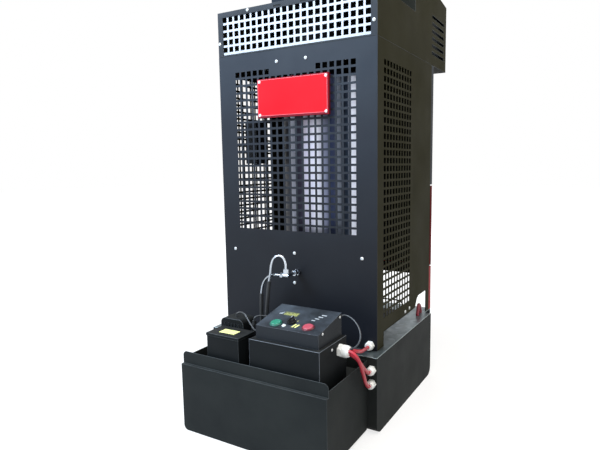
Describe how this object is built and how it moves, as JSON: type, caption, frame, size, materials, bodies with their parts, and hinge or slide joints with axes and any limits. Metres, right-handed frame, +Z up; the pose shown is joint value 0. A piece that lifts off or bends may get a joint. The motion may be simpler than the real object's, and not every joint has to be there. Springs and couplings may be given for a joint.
{
  "type": "multi-fuel space heater",
  "caption": "Tower heater for waste oil or diesel: perforated cabinet on a base tray, fuel tank with pump and controls in front, fan and warm-air outlet at the back.",
  "frame": {"origin": "centre of the base tray's underside, on the floor", "axes": "+Z is up, -Y is the service side with the fuel tank, +Y is the warm-air outlet, and +X is to the right when the service side is seen from the front"},
  "size_m": [0.5411, 0.826, 1.335],
  "materials": {
    "black_paint": "powder coat, satin, near black",
    "grey_deck": "galvanised sheet, dull",
    "red_paint": "gloss red enamel",
    "plate_red": "gloss red, blank plate",
    "white_grille": "white enamel",
    "drum_steel": "stainless sheet, brushed",
    "cast_iron": "raw casting",
    "zinc": "zinc plated",
    "chrome_tube": "bright plated tube",
    "aluminium": "die cast",
    "brass": "turned",
    "black_plastic": "moulded",
    "white_nylon": "moulded nylon",
    "green_plastic": "moulded",
    "red_plastic": "moulded",
    "teal_ring": "moulded",
    "lamp_lens": "clear lens",
    "red_silicone": "silicone sleeve",
    "black_rubber": "cable sheath",
    "float_foam": "closed-cell foam float",
    "screw_white": "white-headed screws"
  },
  "bodies": {
    "root": {"base_tray": "black_paint", "base_deck": "grey_deck", "rear_panel": "black_paint", "side_panel_right": "black_paint", "side_panel_left": "black_paint", "rear_posts": "black_paint", "front_posts": "black_paint", "front_panel": "black_paint", "front_feet": "red_paint", "door_hinges": "zinc", "top_casing": "black_paint", "top_grille": "white_grille", "top_deck": "grey_deck", "outlet_grille": "black_paint", "fan_bulkhead": "grey_deck", "fan_guard": "black_paint", "fan_motor": "black_paint", "heat_drum": "drum_steel", "drum_lid": "drum_steel", "drum_stand": "cast_iron", "flue_pipe": "drum_steel", "flue_collar": "black_paint", "burner_box": "grey_deck", "burner_pot": "cast_iron", "burner_ring": "cast_iron", "burner_dish": "cast_iron", "blower_housing": "zinc", "blower_motor": "black_paint", "thermostat_box": "black_plastic", "blank_plate": "plate_red", "plate_rivets": "screw_white", "fuel_tank": "black_paint", "tank_cover": "black_paint", "filler_strainer": "zinc", "level_switch": "black_plastic", "pump_cover": "black_paint", "pump_motor": "black_paint", "pump_body": "aluminium", "suction_pipe": "brass", "terminal_box": "black_paint", "control_box": "black_paint", "button_rings": "teal_ring", "indicator_lamp": "lamp_lens", "cable_glands": "white_nylon", "silicone_leads": "red_silicone", "control_cables": "black_rubber", "fuel_pipes": "chrome_tube", "pipe_fittings": "chrome_tube", "casing_screws": "screw_white"},
    "door": {"front_door": "red_paint", "door_knob": "black_plastic"},
    "lid": {"filler_lid": "black_paint"},
    "fan": {"fan_rotor": "black_paint"},
    "blower": {"blower_impeller": "zinc"},
    "drive_gear": {"pump_drive_gear": "chrome_tube"},
    "idler_gear": {"pump_idler_gear": "chrome_tube"},
    "float": {"level_float": "float_foam"},
    "green": {"green_button": "green_plastic"},
    "red": {"red_button": "red_plastic"},
    "knob": {"selector_knob": "black_plastic"}
  },
  "joints": [
    {"name": "door_hinge", "type": "hinge", "parent": "root", "child": "door", "pos_m": [-0.245, 0.2605, 0.354], "axis": [0, 0, 1], "range_deg": [0, 105]},
    {"name": "filler_lid_hinge", "type": "hinge", "parent": "root", "child": "lid", "pos_m": [-0.158, -0.322, 0.173], "axis": [-1, 0, 0], "range_deg": [0, 100]},
    {"name": "fan_spin", "type": "hinge", "parent": "root", "child": "fan", "pos_m": [0, 0.156, 1.1205], "axis": [0, 1, 0], "continuous": true},
    {"name": "blower_spin", "type": "hinge", "parent": "root", "child": "blower", "pos_m": [-0.2, 0.05, 0.112], "axis": [0, 1, 0], "continuous": true},
    {"name": "pump_spin", "type": "hinge", "parent": "root", "child": "drive_gear", "pos_m": [-0.078, -0.379, 0.22], "axis": [0, 1, 0], "continuous": true},
    {"name": "idler_spin", "type": "hinge", "parent": "root", "child": "idler_gear", "pos_m": [-0.054, -0.379, 0.22], "axis": [0, 1, 0], "continuous": true},
    {"name": "float_slide", "type": "slide", "parent": "root", "child": "float", "axis": [0, 0, 1], "range_m": [0, 0.09]},
    {"name": "green_press", "type": "slide", "parent": "root", "child": "green", "axis": [0, 0.2113, -0.9774], "range_m": [0, 0.003], "stiffness_N_per_m": 400},
    {"name": "red_press", "type": "slide", "parent": "root", "child": "red", "axis": [0, 0.2113, -0.9774], "range_m": [0, 0.003], "stiffness_N_per_m": 400},
    {"name": "selector_turn", "type": "hinge", "parent": "root", "child": "knob", "pos_m": [0.1095, -0.35727, 0.31418], "axis": [0, -0.2113, 0.9774], "range_deg": [-45, 45]}
  ],
  "couplings": [
    {"joint": "idler_spin", "follows": "pump_spin", "ratio": -1}
  ]
}
